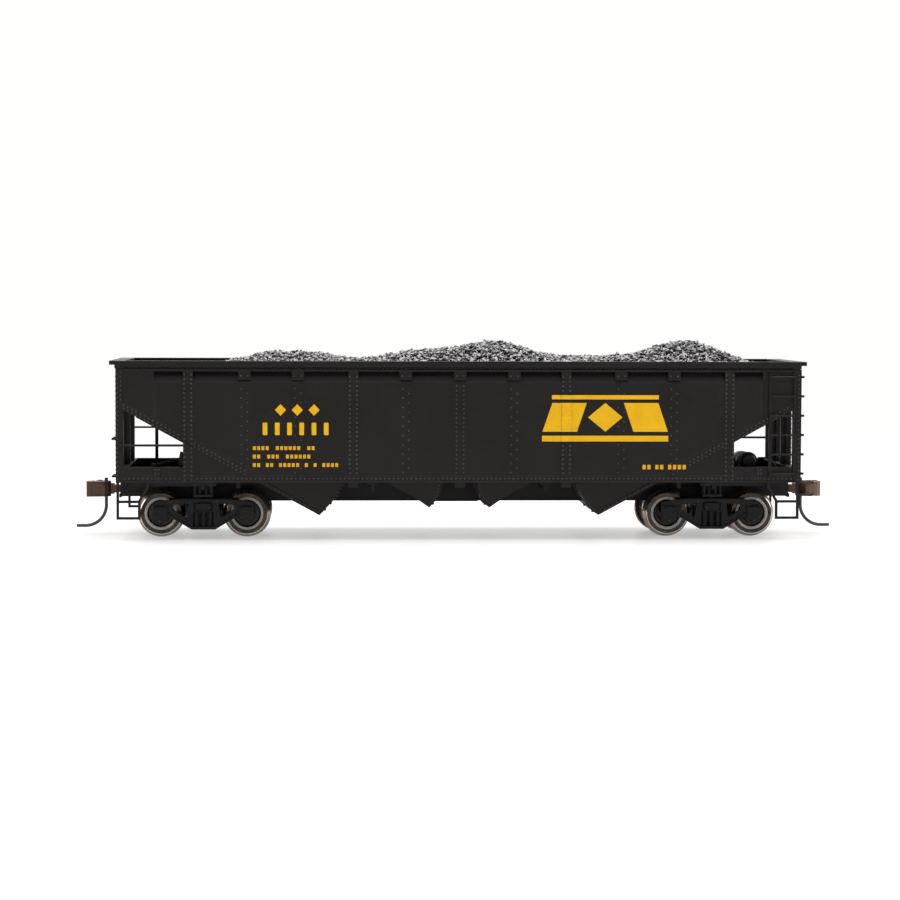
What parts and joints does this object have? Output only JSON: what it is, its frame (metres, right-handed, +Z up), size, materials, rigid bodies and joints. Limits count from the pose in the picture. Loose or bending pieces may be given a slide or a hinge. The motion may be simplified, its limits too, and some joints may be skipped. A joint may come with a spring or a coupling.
{
  "type": "model hopper car",
  "caption": "Scale model open hopper car with sloping end floors, drop-bottom pockets, swivelling trucks, swinging knuckle couplers and a lift-out coal load.",
  "frame": {"origin": "centre line under the middle of the car, level with the bottom of the wheel flanges", "axes": "+X along the car towards the brake (B) end, +Y across the car, +Z up"},
  "size_m": [0.175, 0.0386, 0.0448],
  "materials": {
    "body_plastic": "satin moulded charcoal black, faint grain",
    "fitting_plastic": "satin black",
    "truck_plastic": "satin black, slightly cooler than the body",
    "wheel_metal": "turned and polished, brown tinted",
    "axle_metal": "blackened",
    "bush_plastic": "black",
    "coupler_metal": "red brown, satin",
    "blackened_wire": "dark plated wire",
    "spring_bronze": "phosphor bronze",
    "screw_steel": "plated",
    "ballast_steel": "bare",
    "coal": "gloss black broken lumps"
  },
  "bodies": {
    "car_body": {"body_shell": "body_plastic", "underframe": "fitting_plastic", "hopper_pockets": "body_plastic", "hopper_door_1": "body_plastic", "hopper_door_2": "body_plastic", "hopper_door_3": "body_plastic", "hopper_door_4": "body_plastic", "ballast_bar": "ballast_steel", "side_ladder_near": "fitting_plastic", "side_ladder_far": "fitting_plastic", "end_ladder_a": "fitting_plastic", "end_ladder_b": "fitting_plastic", "side_rail_near": "fitting_plastic", "side_rail_far": "fitting_plastic", "end_grab_irons_a": "fitting_plastic", "end_grab_irons_b": "fitting_plastic", "stirrup_a_near": "fitting_plastic", "stirrup_a_far": "fitting_plastic", "stirrup_b_near": "fitting_plastic", "stirrup_b_far": "fitting_plastic", "brake_cylinder": "fitting_plastic", "air_reservoir": "fitting_plastic", "triple_valve": "fitting_plastic", "brake_rods": "fitting_plastic", "brake_lever": "fitting_plastic", "draft_box_lid_a": "fitting_plastic", "draft_box_lid_b": "fitting_plastic", "draft_box_screws": "screw_steel", "kingpin_screws": "screw_steel", "centering_spring_a": "spring_bronze", "centering_spring_b": "spring_bronze"},
    "load": {"coal_load": "coal"},
    "truck_a": {"truck_frame_a": "truck_plastic"},
    "truck_b": {"truck_frame_b": "truck_plastic"},
    "wheelset_1": {"axle_1": "axle_metal", "wheel_1_near": "wheel_metal", "wheel_1_far": "wheel_metal", "insulating_bush_1": "bush_plastic"},
    "wheelset_2": {"axle_2": "axle_metal", "wheel_2_near": "wheel_metal", "wheel_2_far": "wheel_metal", "insulating_bush_2": "bush_plastic"},
    "wheelset_3": {"axle_3": "axle_metal", "wheel_3_near": "wheel_metal", "wheel_3_far": "wheel_metal", "insulating_bush_3": "bush_plastic"},
    "wheelset_4": {"axle_4": "axle_metal", "wheel_4_near": "wheel_metal", "wheel_4_far": "wheel_metal", "insulating_bush_4": "bush_plastic"},
    "coupler_swing_a": {"coupler_a": "coupler_metal", "knuckle_pin_a": "blackened_wire"},
    "knuckle_open_a": {"knuckle_a": "coupler_metal", "trip_pin_a": "blackened_wire"},
    "coupler_swing_b": {"coupler_b": "coupler_metal", "knuckle_pin_b": "blackened_wire"},
    "knuckle_open_b": {"knuckle_b": "coupler_metal", "trip_pin_b": "blackened_wire"}
  },
  "joints": [
    {"name": "load_lift", "type": "slide", "parent": "car_body", "child": "load", "axis": [0, 0, 1], "range_m": [0, 0.03]},
    {"name": "truck_a_swivel", "type": "hinge", "parent": "car_body", "child": "truck_a", "pos_m": [-0.0578, 0, 0.0078], "axis": [0, 0, 1], "range_deg": [-12, 12]},
    {"name": "truck_b_swivel", "type": "hinge", "parent": "car_body", "child": "truck_b", "pos_m": [0.0578, 0, 0.0078], "axis": [0, 0, 1], "range_deg": [-12, 12]},
    {"name": "wheelset_1_roll", "type": "hinge", "parent": "truck_a", "child": "wheelset_1", "pos_m": [-0.06755, 0, 0.00545], "axis": [0, 1, 0], "continuous": true},
    {"name": "wheelset_2_roll", "type": "hinge", "parent": "truck_a", "child": "wheelset_2", "pos_m": [-0.04805, 0, 0.00545], "axis": [0, 1, 0], "continuous": true},
    {"name": "wheelset_3_roll", "type": "hinge", "parent": "truck_b", "child": "wheelset_3", "pos_m": [0.04805, 0, 0.00545], "axis": [0, 1, 0], "continuous": true},
    {"name": "wheelset_4_roll", "type": "hinge", "parent": "truck_b", "child": "wheelset_4", "pos_m": [0.06755, 0, 0.00545], "axis": [0, 1, 0], "continuous": true},
    {"name": "coupler_a_swing", "type": "hinge", "parent": "car_body", "child": "coupler_swing_a", "pos_m": [-0.0714, 0, 0.0105], "axis": [0, 0, 1], "range_deg": [-12, 12], "deforming": ["centering_spring_a"]},
    {"name": "knuckle_a_open", "type": "hinge", "parent": "coupler_swing_a", "child": "knuckle_open_a", "pos_m": [-0.0823, 0.0015, 0.0105], "axis": [0, 0, -1], "range_deg": [0, 30]},
    {"name": "coupler_b_swing", "type": "hinge", "parent": "car_body", "child": "coupler_swing_b", "pos_m": [0.0714, 0, 0.0105], "axis": [0, 0, 1], "range_deg": [-12, 12], "deforming": ["centering_spring_b"]},
    {"name": "knuckle_b_open", "type": "hinge", "parent": "coupler_swing_b", "child": "knuckle_open_b", "pos_m": [0.0823, -0.0015, 0.0105], "axis": [0, 0, -1], "range_deg": [0, 30]}
  ]
}
